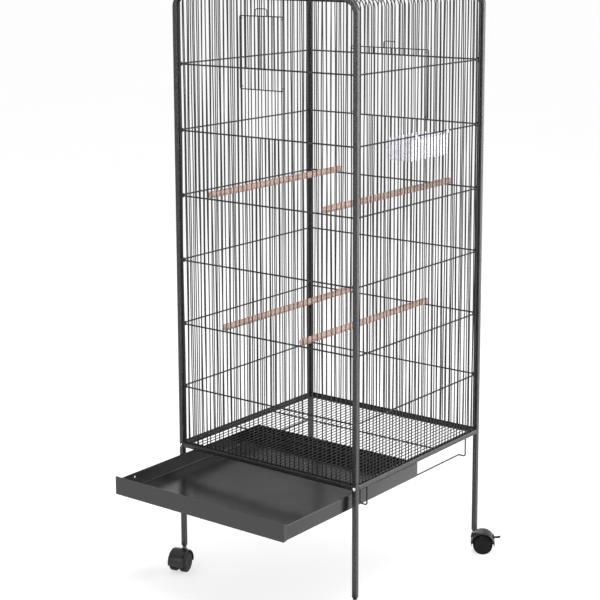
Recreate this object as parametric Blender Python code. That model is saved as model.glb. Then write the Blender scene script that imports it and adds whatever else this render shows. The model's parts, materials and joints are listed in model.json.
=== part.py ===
"""Square wire bird cage on a rolling stand, built as separate named sub-parts.

Units are metres, +Z up. The front is -Y: the tray draws out that way and the small
lift door is on that side. Dimensions are in millimetres in the constants and are
converted once by MM. Everything is laid out from the left front post's foot, and the
whole assembly is moved at the end so that the origin is the middle of its footprint.
"""
import math

import bmesh
import bpy
from mathutils import Vector

MM = 0.001
GAP = 0.3              # air left between neighbouring sub-parts

# ---- overall layout (post centre lines, heights above the floor)
SPAN = 530.0           # between post centres, both ways
POST = 12.0            # square tube of the posts, hoops and base bars
POST_EASE = 1.5        # eased edge of the tube
LEG_END = 57.3         # underside of the leg plugs
HOOP_TOP = 1450.0
HOOP_BEND = 34.0       # centre-line radius of the hoop corners
BAR_LOW = 319.9        # underside of the base bars
BAR_TOP = BAR_LOW + POST
LEVEL = 160.0          # spacing of the horizontal wires
LEVEL_6 = 476.0        # lowest horizontal wire
LEVELS = [LEVEL_6 + LEVEL * i for i in range(6)]      # L6 .. L1
Z_L2, Z_L1 = LEVELS[4], LEVELS[5]
Z_L3, Z_L5 = LEVELS[3], LEVELS[1]

# ---- wire panels
WIRE = 2.4             # upright wire
CROSS = 3.0            # horizontal wire
PITCH = 13.6
N_WIRE = 38
EDGE = POST / 2 + GAP  # panel edge, from the post centre line
WIRE_MID = -1.5        # upright plane, outwards of the post centre plane
CROSS_MID = 1.5        # horizontal plane, inwards of it
RING = 3.0             # panel border, in its plane
SIDE_TOP = 1416.7      # top of the flat side panels
ROOF_BEND = 24.0
ROOF_Z = 1444.0        # middle of the roof wires
ROOF_CROSS = (185.0, 345.0)

# ---- doors: half width and middle, and how far each one is raised
DOOR_SHUT = 1115.5     # middle of the bottom rail when shut
FRONT_DOOR = dict(mid=265.0, half=63.0, height=169.0, raise_mm=113.0)
BACK_DOOR = dict(mid=251.4, half=120.4, height=176.5, raise_mm=0.0)
DOOR_PLANE = -4.35     # middle of the door, from the post centre plane
DOOR_ROD = 2.7         # border of a door
DOOR_BAR = 2.2         # its upright rods and finger loop
LOOP_HALF = 17.0       # finger loop, half its width to the wire's middle
LOOP_RISE = 17.0       # its top above the door's top rail
LOOP_BEND = 5.0
CLIP_GAP = 0.05        # between a door's side rod and the foot of its clip
CLIP_H = 4.0           # clip, up the wire
CLIP_IN = 6.0          # clip's middle from the door's top or bottom rail

# ---- floor and tray
GRATE_Z = 325.5
BEARER_D = 4.0
BEARER_Z = 321.9
BEARER_Y = (197.0, 356.0)
TRAY_W = 502.0
TRAY_L = 534.0
TRAY_WALL = 35.0
TRAY_FRONT_W = 508.0
TRAY_FRONT_H = 44.0
TRAY_FRONT_Y = -252.0  # face of the tray front, drawn out as stored
TRAY_Z = 271.4
SHEET = 1.4
TRAY_HOLE = (-190.0, 297.0, 2.3)   # y, z and radius of the hole in the left wall
RAIL_D = 3.6
RAIL_OUT = 526.0       # hanging legs
RAIL_IN = 507.0        # run under the tray
RAIL_Z = 269.3
RAIL_Y = (52.0, 486.0)

# ---- perches and feeder
PERCH_D = 17.0
PERCHES = (("perch_upper_left", 99.0, Z_L3), ("perch_upper_right", 441.0, Z_L3),
           ("perch_lower_left", 141.0, Z_L5), ("perch_lower_right", 375.0, Z_L5))
CUP = dict(x0=454.0, x1=526.4, y0=224.0, y1=385.0, z0=1056.0, z1=1107.0, wall=2.4,
           belly=16.0)
CUP_HOOKS = (265.0 - 2 * PITCH, 265.0 + 8 * PITCH)

# ---- casters, in their own frame: stem on the axis, wheels trailing along +X
WHEEL_R = 25.4
TRAIL = 22.0
WEB_HALF = 6.5
WHEEL_IN, WHEEL_OUT = 7.0, 21.5
HOOD_R, HOOD_IN, HOOD_HALF = 32.0, 28.6, 22.0
AXLE_R, AXLE_HALF = 3.0, 17.0
STEM_R = 4.0
STEM_LOW, STEM_FLANGE = 35.0, 53.4
FLANGE_R = 5.6         # washer of the stem under the leg's plug
BOSS_R, BOSS_LOW, BOSS_TOP = 7.4, 40.0, 51.5
RUNNING = 0.05         # radial clearance of stem and axle
ROUND = 24             # sides of turned pieces that run in each other
CASTERS = (("front_left", 0.0, 0.0, -75.4, False),
           ("front_right", SPAN, 0.0, -68.0, False),
           ("back_right", SPAN, SPAN, 31.6, True),
           ("back_left", 0.0, SPAN, 148.4, True))
LEVER_PIVOT = (46.5, 41.0)

FINISH = {
    "tube_black": ((0.022, 0.022, 0.024), 0.55, 0.38),
    "wire_black": ((0.018, 0.018, 0.020), 0.60, 0.35),
    "tray_grey": ((0.060, 0.060, 0.063), 0.40, 0.45),
    "wood_tan": ((0.52, 0.27, 0.17), 0.0, 0.60),
    "cup_white": ((0.80, 0.80, 0.84), 0.0, 0.30),
    "bolt_bright": ((0.60, 0.60, 0.62), 1.0, 0.22),
    "caster_black": ((0.012, 0.012, 0.013), 0.0, 0.42),
    "wheel_black": ((0.010, 0.010, 0.011), 0.0, 0.50),
    "axle_steel": ((0.40, 0.40, 0.42), 1.0, 0.35),
}


def clear_scene():
    for ob in list(bpy.data.objects):
        bpy.data.objects.remove(ob, do_unlink=True)
    for me in list(bpy.data.meshes):
        bpy.data.meshes.remove(me)


def material(name, finish):
    colour, metal, rough = FINISH[finish]
    mat = bpy.data.materials.new(name)
    mat.use_nodes = True
    bsdf = mat.node_tree.nodes.get("Principled BSDF")
    bsdf.inputs["Base Color"].default_value = (*colour, 1.0)
    bsdf.inputs["Metallic"].default_value = metal
    bsdf.inputs["Roughness"].default_value = rough
    return mat


def add_empty(name, place, angle=0.0, parent=None):
    """An empty that carries sub-parts, standing at place (mm) and turned about Z."""
    ob = bpy.data.objects.new(name, None)
    bpy.context.scene.collection.objects.link(ob)
    ob.location = Vector(place) * MM
    ob.rotation_euler = (0.0, 0.0, math.radians(angle))
    ob.empty_display_size = 0.03
    ob.parent = parent
    return ob


def finish_object(name, bm, finish, smooth=False, pivot=(0.0, 0.0, 0.0)):
    """Turn a bmesh in millimetres into the named sub-part, with its origin at pivot."""
    bmesh.ops.remove_doubles(bm, verts=bm.verts, dist=1e-4)
    bmesh.ops.recalc_face_normals(bm, faces=bm.faces)
    bmesh.ops.translate(bm, vec=-Vector(pivot), verts=bm.verts)
    bmesh.ops.scale(bm, vec=Vector((MM, MM, MM)), verts=bm.verts)
    me = bpy.data.meshes.new(name)
    bm.to_mesh(me)
    bm.free()
    ob = bpy.data.objects.new(name, me)
    bpy.context.scene.collection.objects.link(ob)
    ob.location = Vector(pivot) * MM
    me.materials.append(material(name + "_mat", finish))
    for poly in me.polygons:
        poly.use_smooth = smooth
    return ob


# ---------------------------------------------------------------- shape helpers
def add_box(bm, lo, hi):
    vs = [bm.verts.new((x, y, z)) for x in (lo[0], hi[0]) for y in (lo[1], hi[1])
          for z in (lo[2], hi[2])]
    for q in ((0, 1, 3, 2), (4, 6, 7, 5), (0, 4, 5, 1), (2, 3, 7, 6), (0, 2, 6, 4),
              (1, 5, 7, 3)):
        bm.faces.new([vs[i] for i in q])


def add_prism(bm, outline, lo, hi, axis):
    """Extrude a closed outline (pairs in the two other axes) between lo and hi."""
    def place(p, t):
        return {0: (t, p[0], p[1]), 1: (p[0], t, p[1]), 2: (p[0], p[1], t)}[axis]
    a = [bm.verts.new(place(p, lo)) for p in outline]
    b = [bm.verts.new(place(p, hi)) for p in outline]
    n = len(outline)
    bm.faces.new(a)
    bm.faces.new(list(reversed(b)))
    for i in range(n):
        j = (i + 1) % n
        bm.faces.new((a[i], b[i], b[j], a[j]))


def add_border(bm, outer, inner, lo, hi, axis):
    """A flat closed border between two outlines with the same number of corners."""
    def place(p, t):
        return {0: (t, p[0], p[1]), 1: (p[0], t, p[1]), 2: (p[0], p[1], t)}[axis]
    rows = [[bm.verts.new(place(p, t)) for p in line]
            for line, t in ((outer, lo), (inner, lo), (inner, hi), (outer, hi))]
    n = len(outer)
    for r in range(4):
        one, two = rows[r], rows[(r + 1) % 4]
        for i in range(n):
            j = (i + 1) % n
            bm.faces.new((one[i], one[j], two[j], two[i]))


def arc(cx, cy, r, a0, a1, n):
    return [(cx + r * math.cos(math.radians(a0 + (a1 - a0) * i / n)),
             cy + r * math.sin(math.radians(a0 + (a1 - a0) * i / n)))
            for i in range(n + 1)]


def add_sweep(bm, path, section):
    """Sweep a closed 2-D section along a polyline, mitred at every corner."""
    pts = [Vector(p) for p in path]
    n = len(pts)
    dirs = [(pts[i + 1] - pts[i]).normalized() for i in range(n - 1)]
    side = dirs[0].orthogonal().normalized()
    for cand in (Vector((0, 1, 0)), Vector((1, 0, 0)), Vector((0, 0, 1))):
        if abs(cand.dot(dirs[0])) < 0.05:
            side = cand
            break
    rings = []
    for i in range(n):
        if i == 0:
            d_in = d_out = dirs[0]
        elif i == n - 1:
            d_in = d_out = dirs[-1]
        else:
            d_in, d_out = dirs[i - 1], dirs[i]
        if i > 0:
            rot = dirs[i - 2].rotation_difference(d_in) if i > 1 else None
            if rot is not None:
                side = rot @ side
        up = d_in.cross(side)
        plane = (d_in + d_out).normalized()
        ring = []
        for u, v in section:
            p = pts[i] + side * u + up * v
            t = (pts[i] - p).dot(plane) / d_in.dot(plane)
            ring.append(bm.verts.new(p + d_in * t))
        rings.append(ring)
    m = len(section)
    bm.faces.new(rings[0])
    bm.faces.new(list(reversed(rings[-1])))
    for a, b in zip(rings, rings[1:]):
        for i in range(m):
            j = (i + 1) % m
            bm.faces.new((a[i], b[i], b[j], a[j]))


def round_section(radius, sides):
    return [(radius * math.cos(2 * math.pi * (i + 0.5) / sides),
             radius * math.sin(2 * math.pi * (i + 0.5) / sides)) for i in range(sides)]


def tube_section(size, ease):
    h, k = size / 2, size / 2 - ease
    return [(h, -k), (h, k), (k, h), (-k, h), (-h, k), (-h, -k), (-k, -h), (k, -h)]


def add_lathe(bm, profile, sides, centre=(0, 0, 0), axis="Z", phase=0.5):
    """Turn (radius, height) pairs about an axis. A zero radius closes on the axis."""
    def place(r, h, a):
        c, s = r * math.cos(a), r * math.sin(a)
        off = {"Z": (c, s, h), "Y": (c, h, s)}[axis]
        return (centre[0] + off[0], centre[1] + off[1], centre[2] + off[2])
    rows = []
    for r, h in profile:
        if r == 0:
            rows.append([bm.verts.new(place(0, h, 0))])
        else:
            rows.append([bm.verts.new(place(r, h, 2 * math.pi * (i + phase) / sides))
                         for i in range(sides)])
    for a, b in zip(rows, rows[1:] + ([rows[0]] if profile[0][0] else [])):
        if len(a) == 1 and len(b) == 1:
            continue
        for i in range(sides):
            j = (i + 1) % sides
            if len(a) == 1:
                bm.faces.new((a[0], b[i], b[j]))
            elif len(b) == 1:
                bm.faces.new((a[i], b[0], a[j]))
            else:
                bm.faces.new((a[i], b[i], b[j], a[j]))


def boolean(name, base, tools, finish, crossing=False, pivot=(0.0, 0.0, 0.0)):
    """base and tools are bmeshes in mm; tools is a list of (operation, bmesh)."""
    objs = []
    for k, bm in enumerate([base] + [t for _, t in tools]):
        bmesh.ops.recalc_face_normals(bm, faces=bm.faces)
        me = bpy.data.meshes.new("step")
        bm.to_mesh(me)
        bm.free()
        ob = bpy.data.objects.new("step_%d" % k, me)
        bpy.context.scene.collection.objects.link(ob)
        objs.append(ob)
    work = objs[0]
    for (op, _), tool in zip(tools, objs[1:]):
        mod = work.modifiers.new("b", "BOOLEAN")
        mod.operation = op
        mod.solver = "EXACT"
        mod.use_self = crossing
        mod.object = tool
    bpy.context.view_layer.update()
    done = work.evaluated_get(bpy.context.evaluated_depsgraph_get())
    bm = bmesh.new()
    bm.from_mesh(done.to_mesh())
    done.to_mesh_clear()
    for ob in objs:
        bpy.data.objects.remove(ob, do_unlink=True)
    bmesh.ops.dissolve_limit(bm, angle_limit=math.radians(0.5), verts=bm.verts,
                             edges=bm.edges)
    return finish_object(name, bm, finish, pivot=pivot)


# ---------------------------------------------------------------- frame
def hoop_path(y):
    top = HOOP_TOP - POST / 2
    left = arc(HOOP_BEND, top - HOOP_BEND, HOOP_BEND, 180, 90, 6)
    right = arc(SPAN - HOOP_BEND, top - HOOP_BEND, HOOP_BEND, 90, 0, 6)
    return [(0.0, y, LEG_END + 3)] + [(x, y, z) for x, z in left + right] \
        + [(SPAN, y, LEG_END + 3)]


def build_hoop(name, y):
    """Both legs, the top and the cross bar of one end, welded into one piece."""
    tube = bmesh.new()
    add_sweep(tube, hoop_path(y), tube_section(POST, POST_EASE))
    tools = []
    for x in (0.0, SPAN):                       # tapered plug in each leg
        plug = bmesh.new()
        h = POST / 2 - 0.5
        lo, hi = h - 1.6, h
        rows = [[plug.verts.new((x + sx * w, y + sy * w, z)) for sx, sy in
                 ((-1, -1), (1, -1), (1, 1), (-1, 1))]
                for w, z in ((lo, LEG_END), (hi, LEG_END + 4), (hi, LEG_END + 8))]
        plug.faces.new(rows[0])
        plug.faces.new(list(reversed(rows[2])))
        for a, b in zip(rows, rows[1:]):
            for i in range(4):
                j = (i + 1) % 4
                plug.faces.new((a[i], a[j], b[j], b[i]))
        tools.append(("UNION", plug))
    bar = bmesh.new()
    h = POST / 2 - 0.2
    add_box(bar, (3.0, y - h, BAR_LOW + 0.2), (SPAN - 3.0, y + h, BAR_TOP - 0.2))
    tools.append(("UNION", bar))
    return boolean(name, tube, tools, "tube_black")


def build_side_bar(name, x):
    bm = bmesh.new()
    z = (BAR_LOW + BAR_TOP) / 2
    add_sweep(bm, [(x, EDGE, z), (x, SPAN - EDGE, z)], tube_section(POST, POST_EASE))
    return finish_object(name, bm, "tube_black")


def build_bolt(name, x, y, out):
    """Dome head standing on the post face, at the height of the base bars."""
    bm = bmesh.new()
    face = y + out * (POST / 2 + GAP)
    prof = [(0, 0), (4.6, 0), (4.6, 1.4), (3.4, 3.4), (1.6, 4.2), (0, 4.4)]
    add_lathe(bm, [(r, out * h) for r, h in prof], 12, (x, face, BAR_LOW + 5.0), "Y")
    return finish_object(name, bm, "bolt_bright", True)


# ---------------------------------------------------------------- wire panels
def wire_stations():
    return [SPAN / 2 + (i - (N_WIRE - 1) / 2) * PITCH for i in range(N_WIRE)]


def end_outline(inset):
    """Border of a front or back panel: square below, rounded under the hoop."""
    lo, hi = EDGE + inset, SPAN - EDGE - inset
    low, top = BAR_TOP + GAP + inset, HOOP_TOP - POST - GAP - inset
    r = HOOP_BEND - POST / 2 - GAP - inset
    return ([(lo, low), (hi, low)] + arc(hi - r, top - r, r, 0, 90, 4)
            + arc(lo + r, top - r, r, 90, 180, 4))


def build_end_panel(name, y, out, door):
    """Front or back panel. out is -1 at the front and +1 at the back."""
    a = y + out * (-WIRE_MID + WIRE / 2)
    b = y - out * (CROSS_MID + CROSS / 2)
    ring = bmesh.new()
    add_border(ring, end_outline(0), end_outline(RING), min(a, b), max(a, b), 1)
    bars = bmesh.new()
    mid = y - out * WIRE_MID
    low = BAR_TOP + GAP + RING / 2
    top = HOOP_TOP - POST - GAP - RING / 2
    r = HOOP_BEND - POST / 2 - GAP
    rm = r - RING / 2
    w = WIRE / 2
    for x in wire_stations():
        reach = min(x, SPAN - x) - EDGE
        head = top
        if reach < r:
            head = (HOOP_TOP - POST - GAP - r) + math.sqrt(rm * rm - (r - reach) ** 2)
        spans = [(low, head)]
        if abs(x - door["mid"]) < door["half"] - 6.0:
            spans = [(low, Z_L2 + CROSS / 2), (Z_L1 - CROSS / 2, head)]
        for z0, z1 in spans:
            add_box(bars, (x - w, mid - w, z0), (x + w, mid + w, z1))
    mid = y - out * CROSS_MID
    h = CROSS / 2
    for z in LEVELS:
        add_box(bars, (EDGE + RING / 2, mid - h + 0.001, z - h),
                (SPAN - EDGE - RING / 2, mid + h - 0.1, z + h))
    return boolean(name, ring, [("UNION", bars)], "wire_black")


def build_side_panel(name, x, out):
    a = x + out * (-WIRE_MID + WIRE / 2)
    b = x - out * (CROSS_MID + CROSS / 2)
    lo, hi, low, top = EDGE, SPAN - EDGE, BAR_TOP + GAP, SIDE_TOP
    ring = bmesh.new()
    add_border(ring, [(lo, low), (hi, low), (hi, top), (lo, top)],
               [(lo + RING, low + RING), (hi - RING, low + RING),
                (hi - RING, top - RING), (lo + RING, top - RING)],
               min(a, b), max(a, b), 0)
    bars = bmesh.new()
    mid = x - out * WIRE_MID
    w, h = WIRE / 2, CROSS / 2
    for y in wire_stations():
        add_box(bars, (mid - w, y - w, low + RING / 2), (mid + w, y + w, top - RING / 2))
    mid = x - out * CROSS_MID
    for z in LEVELS:
        add_box(bars, (mid - h + 0.1, lo + RING / 2, z - h),
                (mid + h - 0.1, hi - RING / 2, z + h))
    return boolean(name, ring, [("UNION", bars)], "wire_black")


def build_roof(name):
    """Roof wires with the bend at each side, held by one bar along each eave."""
    out = -WIRE_MID
    zc = ROOF_Z - ROOF_BEND
    bm = bmesh.new()
    r0, r1 = ROOF_BEND - WIRE / 2, ROOF_BEND + WIRE / 2
    cx = -out + ROOF_BEND
    low = SIDE_TOP + GAP + 1.5
    outer = [(-out - WIRE / 2, low)] + arc(cx, zc, r1, 180, 90, 4)
    inner = [(-out + WIRE / 2, low)] + arc(cx, zc, r0, 180, 90, 4)
    outline = outer + [(SPAN - x, z) for x, z in reversed(outer)] \
        + [(SPAN - x, z) for x, z in inner] + list(reversed(inner))
    for y in wire_stations():
        add_prism(bm, outline, y - WIRE / 2, y + WIRE / 2, 1)
    bars = bmesh.new()
    for x, s in ((0.0, -1), (SPAN, 1)):
        a, b = x + s * (out + WIRE / 2), x - s * (CROSS_MID + CROSS / 2)
        add_box(bars, (min(a, b), EDGE, SIDE_TOP + GAP), (max(a, b), SPAN - EDGE,
                                                         SIDE_TOP + GAP + RING))
    for x in ROOF_CROSS:
        add_box(bars, (x - 1.4, EDGE, ROOF_Z - 3.7), (x + 1.4, SPAN - EDGE, ROOF_Z - 1.0))
    return boolean(name, bars, [("UNION", bm)], "wire_black")


# ---------------------------------------------------------------- doors
def build_door(name, y, out, door):
    """Lift door: border, upright rods and finger loop on top, then its guide clips."""
    z0 = DOOR_SHUT + door["raise_mm"]
    z1 = z0 + door["height"]
    plane = y - out * DOOR_PLANE
    h = DOOR_ROD / 2
    x0, x1 = door["mid"] - door["half"], door["mid"] + door["half"]
    pivot = (door["mid"], plane, z0)
    ring = bmesh.new()
    add_border(ring, [(x0 - h, z0 - h), (x1 + h, z0 - h), (x1 + h, z1 + h), (x0 - h, z1 + h)],
               [(x0 + h, z0 + h), (x1 - h, z0 + h), (x1 - h, z1 - h), (x0 + h, z1 - h)],
               plane - h, plane + h, 1)
    bars = bmesh.new()
    b = DOOR_BAR / 2
    for x in [w for w in wire_stations() if x0 + 6 < w < x1 - 6]:
        add_box(bars, (x - b, plane - b, z0), (x + b, plane + b, z1))
    loop = bmesh.new()
    left, right = door["mid"] - LOOP_HALF, door["mid"] + LOOP_HALF
    zc = z1 + LOOP_RISE - LOOP_BEND
    bend = arc(left + LOOP_BEND, zc, LOOP_BEND, 180, 90, 2) \
        + arc(right - LOOP_BEND, zc, LOOP_BEND, 90, 0, 2)
    path = [(left, plane, z1)] + [(x, plane, z) for x, z in bend] + [(right, plane, z1)]
    add_sweep(loop, path, [(b, -b), (b, b), (-b, b), (-b, -b)])
    boolean(name, ring, [("UNION", bars), ("UNION", loop)], "wire_black", crossing=True,
            pivot=pivot)
    for side, x, s in (("left", x0, 1), ("right", x1, -1)):
        for level, z in (("lower", z0 + CLIP_IN), ("upper", z1 - CLIP_IN)):
            build_clip("%s_clip_%s_%s" % (name, level, side), x, s, y, out, z, pivot)


def build_clip(name, x, s, y, out, z, pivot):
    """Hook from a door's side rod round the back of the panel's edge wire."""
    plane = y - out * DOOR_PLANE
    edge = min(wire_stations(), key=lambda w: abs(w - x - s * 3.0))
    root = x + s * (DOOR_ROD / 2 + CLIP_GAP)
    inner, outer = edge + s * (WIRE / 2 + 0.5), edge + s * (WIRE / 2 + 2.7)
    tip = edge - s * (WIRE / 2 + 0.4)
    near, deep = y - out * 0.1, y - out * 2.4
    bm = bmesh.new()
    add_prism(bm, [(root, plane + out * 1.2), (outer, plane + out * 1.2), (outer, deep),
                   (tip, deep), (tip, near), (inner, near), (inner, plane - out * 1.2),
                   (root, plane - out * 1.2)], z - CLIP_H / 2, z + CLIP_H / 2, 2)
    return finish_object(name, bm, "wire_black", pivot=pivot)


# ---------------------------------------------------------------- floor and tray
def build_grate(name):
    a, b = EDGE, SPAN - EDGE
    ring = bmesh.new()
    lo, hi = GRATE_Z - 1.2, GRATE_Z + 1.2
    add_border(ring, [(a, a), (b, a), (b, b), (a, b)],
               [(a + RING, a + RING), (b - RING, a + RING), (b - RING, b - RING),
                (a + RING, b - RING)], lo, hi, 2)
    bars = bmesh.new()
    for x in wire_stations():
        add_box(bars, (x - 1.0, a + 1.5, lo + 0.1), (x + 1.0, b - 1.5, hi - 0.1))
    return boolean(name, ring, [("UNION", bars)], "wire_black")


def build_bearer(name, y):
    bm = bmesh.new()
    add_sweep(bm, [(EDGE, y, BEARER_Z), (SPAN - EDGE, y, BEARER_Z)],
              round_section(BEARER_D / 2, 8))
    return finish_object(name, bm, "wire_black", True)


def build_rail(name, mirror):
    """Bent rod: a leg from the side bar, a run under the tray, a leg back up."""
    y0, y1 = RAIL_Y
    k = 5.0
    flat = [(RAIL_OUT, y0, BAR_LOW - GAP), (RAIL_OUT, y0, RAIL_Z + k),
            (RAIL_OUT - 0.29 * k, y0, RAIL_Z + 0.29 * k), (RAIL_OUT - k, y0, RAIL_Z),
            (RAIL_IN + k, y0, RAIL_Z), (RAIL_IN + 0.29 * k, y0 + 0.29 * k, RAIL_Z),
            (RAIL_IN, y0 + k, RAIL_Z)]
    back = [(x, y0 + y1 - y, z) for x, y, z in reversed(flat)]
    path = flat + back
    if mirror:
        path = [(SPAN - x, y, z) for x, y, z in path]
    bm = bmesh.new()
    add_sweep(bm, path, round_section(RAIL_D / 2, 8))
    return finish_object(name, bm, "wire_black", True)


def build_tray(name):
    """Folded sheet pan with a taller front plate, open on top."""
    mid = SPAN / 2
    x0, x1 = mid - TRAY_W / 2, mid + TRAY_W / 2
    y0 = TRAY_FRONT_Y
    y1 = y0 + TRAY_L
    pan = bmesh.new()
    add_box(pan, (x0, y0 + 0.7, TRAY_Z), (x1, y1, TRAY_Z + TRAY_WALL))
    front = bmesh.new()
    add_box(front, (mid - TRAY_FRONT_W / 2, y0, TRAY_Z),
            (mid + TRAY_FRONT_W / 2, y0 + SHEET, TRAY_Z + TRAY_FRONT_H))
    hollow = bmesh.new()
    add_box(hollow, (x0 + SHEET, y0 + SHEET + 0.5, TRAY_Z + SHEET),
            (x1 - SHEET, y1 - SHEET, TRAY_Z + TRAY_WALL + 40))
    hole = bmesh.new()
    hy, hz, hr = TRAY_HOLE
    add_prism(hole, [(hy + a, hz + b) for a, b in round_section(hr, 16)], x0 - 2, x0 + 4, 0)
    return boolean(name, pan, [("UNION", front), ("DIFFERENCE", hollow), ("DIFFERENCE", hole)],
                   "tray_grey", pivot=(mid, y0, TRAY_Z))


# ---------------------------------------------------------------- perches and cup
def build_perch(name, x, level):
    bm = bmesh.new()
    r = PERCH_D / 2
    z = level + CROSS / 2 + r + GAP
    prof = [(0, 0.6), (r - 1.2, 0.6), (r, 1.8), (r, SPAN - 1.8), (r - 1.2, SPAN - 0.6),
            (0, SPAN - 0.6)]
    add_lathe(bm, prof, 16, (x, 0, z), "Y")
    return finish_object(name, bm, "wood_tan", True)


def build_cup(name):
    c = CUP
    body = bmesh.new()
    k = c["belly"]
    outline = [(c["x1"], c["z0"]), (c["x1"], c["z1"]), (c["x0"], c["z1"])] \
        + arc(c["x0"] + k, c["z0"] + k, k, 180, 270, 4)
    add_prism(body, outline, c["y0"], c["y1"], 1)
    w = c["wall"]
    inner = [(c["x1"] - w, c["z0"] + w), (c["x1"] - w, c["z1"] + 5),
             (c["x0"] + w, c["z1"] + 5)] \
        + arc(c["x0"] + k, c["z0"] + k, k - w, 180, 270, 4)
    hollow = bmesh.new()
    add_prism(hollow, inner, c["y0"] + w, c["y1"] - w, 1)
    hooks = bmesh.new()
    for y in CUP_HOOKS:
        z = Z_L2 + CROSS / 2 + 0.6
        x0, x1 = c["x1"] - 2.2, SPAN + 3.0
        hook = [(x0, c["z1"] - 6), (c["x1"] - 0.1, c["z1"] - 6), (c["x1"] - 0.1, z), (SPAN + 0.8, z),
                (SPAN + 0.8, z - 8), (x1, z - 8), (x1, z + 2.4), (x0, z + 2.4)]
        add_prism(hooks, hook, y - 3.0, y + 3.0, 1)
    return boolean(name, body, [("DIFFERENCE", hollow), ("UNION", hooks)], "cup_white")


# ---------------------------------------------------------------- casters
def build_hood(name, lever):
    zc = WHEEL_R
    shell = bmesh.new()
    a0, a1, n = -10, 190, 16
    outline = arc(TRAIL, zc, HOOD_R, a0, a1, n) \
        + list(reversed(arc(TRAIL, zc, HOOD_IN, a0, a1, n)))
    add_prism(shell, outline, -HOOD_HALF, HOOD_HALF, 1)
    web = bmesh.new()
    add_prism(web, arc(TRAIL, zc, HOOD_IN + 1.0, -2, 182, n) + [(TRAIL - 9, 17.0), (TRAIL + 9, 17.0)],
              -WEB_HALF, WEB_HALF, 1)
    boss = bmesh.new()
    add_lathe(boss, [(0, BOSS_LOW), (BOSS_R, BOSS_LOW), (BOSS_R, BOSS_TOP), (0, BOSS_TOP)], ROUND)
    bore = bmesh.new()
    add_lathe(bore, [(0, 34), (STEM_R + RUNNING, 34), (STEM_R + RUNNING, 60), (0, 60)], ROUND)
    hole = bmesh.new()
    r = AXLE_R + RUNNING
    add_lathe(hole, [(0, -10), (r, -10), (r, 10), (0, 10)], ROUND, (TRAIL, 0, zc), "Y")
    tools = [("UNION", web), ("UNION", boss), ("DIFFERENCE", bore), ("DIFFERENCE", hole)]
    if lever:
        slot = bmesh.new()
        add_box(slot, (41.5, -5.3, 33.5), (62, 5.3, 49))
        tools.append(("DIFFERENCE", slot))
    return boolean(name, shell, tools, "caster_black")


def build_lever(name):
    """Brake lever: round pivot in the hood's slot and a foot pad outside."""
    px, pz = LEVER_PIVOT
    barrel = bmesh.new()
    add_lathe(barrel, [(0, -4.9), (3.0, -4.9), (3.0, 4.9), (0, 4.9)], 14, (px, 0, pz), "Y")
    pad = bmesh.new()
    outline = [(px, pz - 1.2), (px + 14, pz - 1.2), (px + 21.5, pz + 0.6), (px + 21.5, pz + 2.8),
               (px + 14, pz + 1.4), (px, pz + 1.4)]
    add_prism(pad, outline, -4.5, 4.5, 1)
    return boolean(name, barrel, [("UNION", pad)], "caster_black", pivot=(px, 0.0, pz))


def build_stem(name):
    bm = bmesh.new()
    top = LEG_END - GAP
    add_lathe(bm, [(0, STEM_LOW), (STEM_R, STEM_LOW), (STEM_R, STEM_FLANGE), (FLANGE_R, STEM_FLANGE),
                   (FLANGE_R, top), (0, top)], ROUND)
    return finish_object(name, bm, "axle_steel", True)


def build_axle(name):
    bm = bmesh.new()
    add_lathe(bm, [(0, -AXLE_HALF), (AXLE_R, -AXLE_HALF), (AXLE_R, AXLE_HALF), (0, AXLE_HALF)],
              ROUND, (TRAIL, 0, WHEEL_R), "Y")
    return finish_object(name, bm, "axle_steel", True, (TRAIL, 0.0, WHEEL_R))


def build_wheel(name, side):
    """Tread, outer disc and a blind hub that takes the axle from the inside."""
    r = AXLE_R + RUNNING
    prof = [(0, AXLE_HALF + 0.3), (r, AXLE_HALF + 0.3), (r, WHEEL_IN), (WHEEL_R - 1.2, WHEEL_IN),
            (WHEEL_R, WHEEL_IN + 1.2), (WHEEL_R, WHEEL_OUT - 2.2), (WHEEL_R - 2.0, WHEEL_OUT),
            (0, WHEEL_OUT)]
    bm = bmesh.new()
    add_lathe(bm, [(rad, side * h) for rad, h in prof], ROUND, (TRAIL, 0, WHEEL_R), "Y", 0.0)
    return finish_object(name, bm, "wheel_black", True, (TRAIL, 0.0, WHEEL_R))


def build_caster(tag, x, y, angle, lever, root):
    parts = [build_stem("caster_%s_stem" % tag), build_hood("caster_%s_hood" % tag, lever),
             build_axle("caster_%s_axle" % tag),
             build_wheel("caster_%s_wheel_a" % tag, 1), build_wheel("caster_%s_wheel_b" % tag, -1)]
    if lever:
        parts.append(build_lever("caster_%s_brake" % tag))
    swivel = add_empty("caster_%s_swivel" % tag, (x, y, 0.0), angle, root)
    for ob in parts:
        ob.parent = swivel


# ---------------------------------------------------------------- assembly
def centre_on_footprint(root):
    """Move the root so that the origin is the middle of the footprint, on the floor."""
    bpy.context.view_layer.update()
    lo, hi = Vector((1e9,) * 3), Vector((-1e9,) * 3)
    for ob in bpy.data.objects:
        if ob.type != "MESH":
            continue
        for v in ob.data.vertices:
            p = ob.matrix_world @ v.co
            for k in range(3):
                lo[k] = min(lo[k], p[k])
                hi[k] = max(hi[k], p[k])
    root.location = (-round((lo.x + hi.x) / 2, 4), -round((lo.y + hi.y) / 2, 4), 0.0)
    print("moved by mm", [round(c * 1000, 2) for c in root.location],
          "size mm", [round((hi[k] - lo[k]) * 1000, 1) for k in range(3)],
          "lowest mm", round(lo.z * 1000, 3))


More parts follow.
